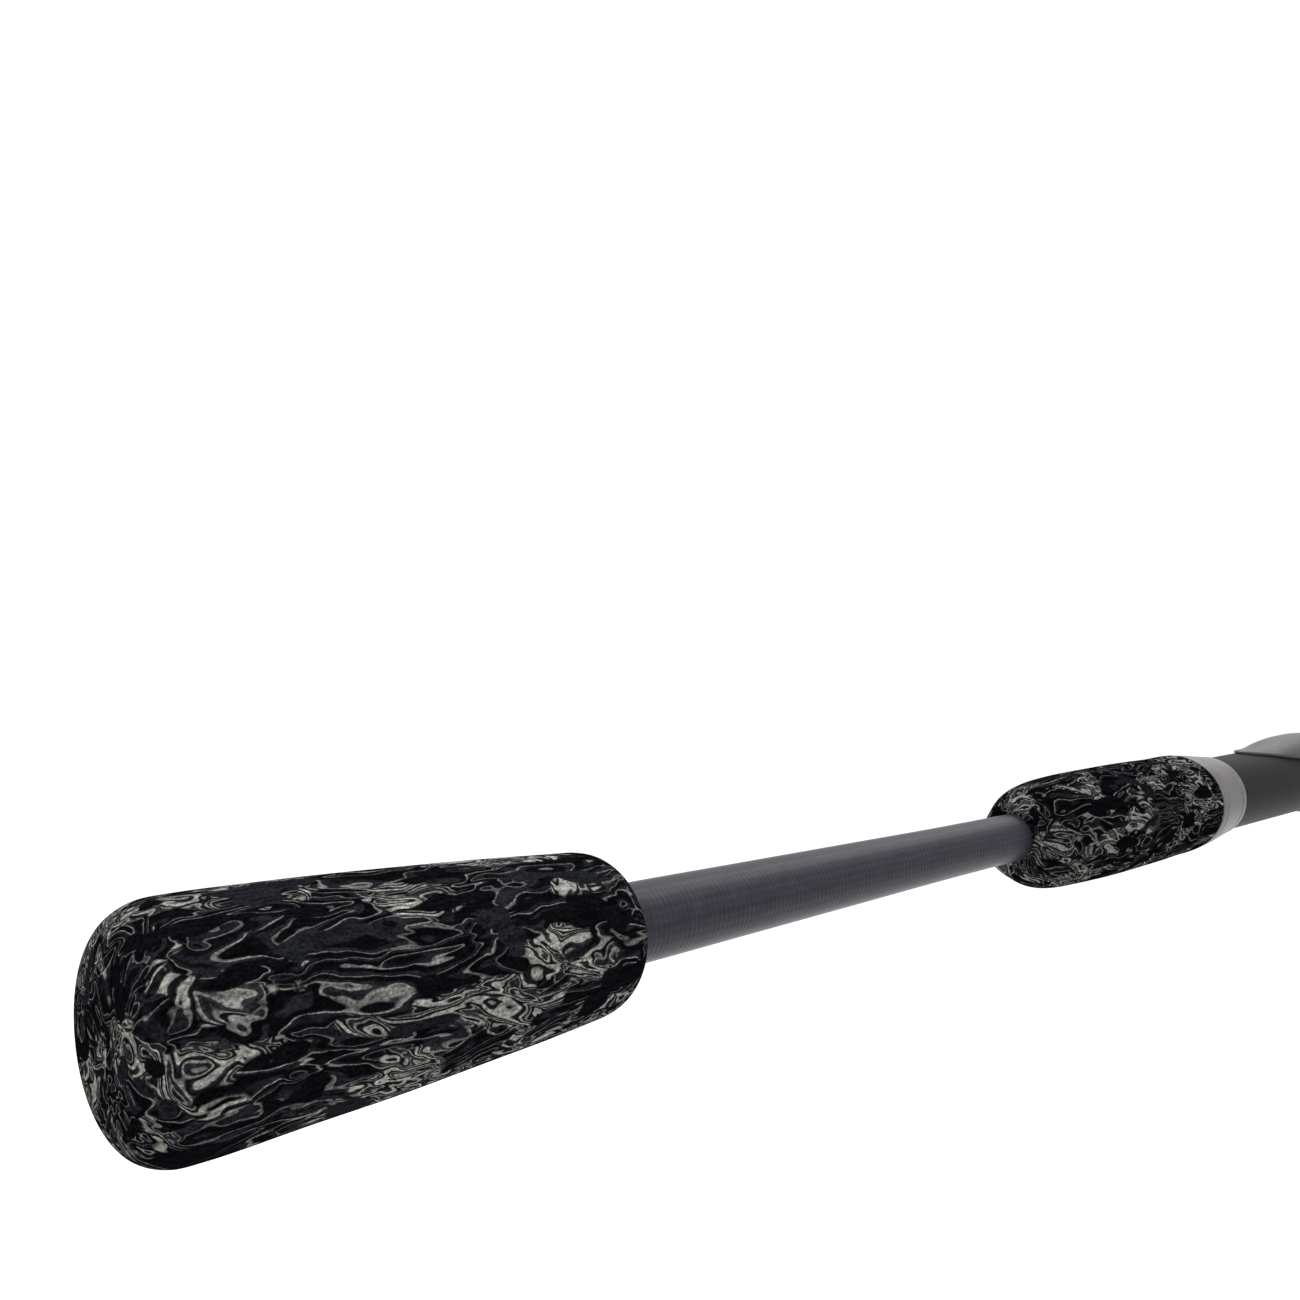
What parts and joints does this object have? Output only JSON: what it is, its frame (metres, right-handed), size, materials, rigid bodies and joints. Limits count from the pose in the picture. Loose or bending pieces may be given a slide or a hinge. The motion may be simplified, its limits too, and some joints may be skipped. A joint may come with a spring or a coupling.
{
  "type": "spinning fishing rod",
  "caption": "Two-piece spinning rod with a marbled foam split grip, a threaded reel seat with a sliding hood, line guides with ceramic rings and a pull-apart ferrule.",
  "frame": {"origin": "centre of the butt grip's flat rear end, on the blank's axis", "axes": "+X along the blank from the butt to the tip, +Z towards the reel's foot bed and the line guides, +Y to the side"},
  "size_m": [1.8273, 0.0308, 0.0543],
  "materials": {
    "eva_foam": "matte marbled closed-cell foam, black and charcoal with thin grey-olive and beige swirls",
    "carbon_blank": "satin dark grey clear-coated carbon laminate",
    "plug": "plain moulded plug",
    "trim_metal": "satin anodised",
    "arbor": "plain filler ring",
    "seat_plastic": "fine satin moulded",
    "nut_plastic": "satin moulded",
    "hood_metal": "satin silver",
    "thread_wrap": "black thread under clear epoxy",
    "guide_metal": "polished gunmetal",
    "ceramic_ring": "polished black ceramic",
    "tip_metal": "bright stainless"
  },
  "bodies": {
    "butt_section": {"butt_grip": "eva_foam", "rear_grip": "eva_foam", "fore_grip": "eva_foam", "butt_blank": "carbon_blank", "blank_end_plug": "plug", "trim_ring": "trim_metal", "winding_check": "trim_metal", "seat_arbor_rear": "arbor", "seat_arbor_front": "arbor", "seat_body": "seat_plastic", "fixed_hood": "hood_metal", "hook_keeper": "guide_metal", "keeper_wrap_rear": "thread_wrap", "keeper_wrap_front": "thread_wrap", "butt_ferrule_wrap": "thread_wrap", "guide_1_frame": "guide_metal", "guide_1_ring": "ceramic_ring", "guide_1_wrap_rear": "thread_wrap", "guide_1_wrap_front": "thread_wrap"},
    "sliding_hood": {"sliding_hood": "hood_metal"},
    "lock_nut": {"lock_nut": "nut_plastic"},
    "tip_section": {"tip_blank": "carbon_blank", "tip_ferrule_wrap": "thread_wrap", "tip_top_frame": "tip_metal", "tip_top_ring": "ceramic_ring", "tip_top_wrap": "thread_wrap", "guide_2_frame": "guide_metal", "guide_2_ring": "ceramic_ring", "guide_2_wrap_rear": "thread_wrap", "guide_2_wrap_front": "thread_wrap", "guide_3_frame": "guide_metal", "guide_3_ring": "ceramic_ring", "guide_3_wrap": "thread_wrap", "guide_4_frame": "guide_metal", "guide_4_ring": "ceramic_ring", "guide_4_wrap": "thread_wrap", "guide_5_frame": "guide_metal", "guide_5_ring": "ceramic_ring", "guide_5_wrap": "thread_wrap"}
  },
  "joints": [
    {"name": "hood_slide", "type": "slide", "parent": "butt_section", "child": "sliding_hood", "axis": [1, 0, 0], "range_m": [-0.013, 0.009]},
    {"name": "lock_nut_spin", "type": "hinge", "parent": "sliding_hood", "child": "lock_nut", "pos_m": [0.3939, 0, -0.00075], "axis": [1, 0, 0], "range_deg": [-2342, 1622]},
    {"name": "ferrule_slide", "type": "slide", "parent": "butt_section", "child": "tip_section", "axis": [1, 0, 0], "range_m": [0, 0.08]}
  ],
  "couplings": [
    {"joint": "lock_nut_spin", "follows": "hood_slide", "rad_per_m": 3141.6}
  ]
}
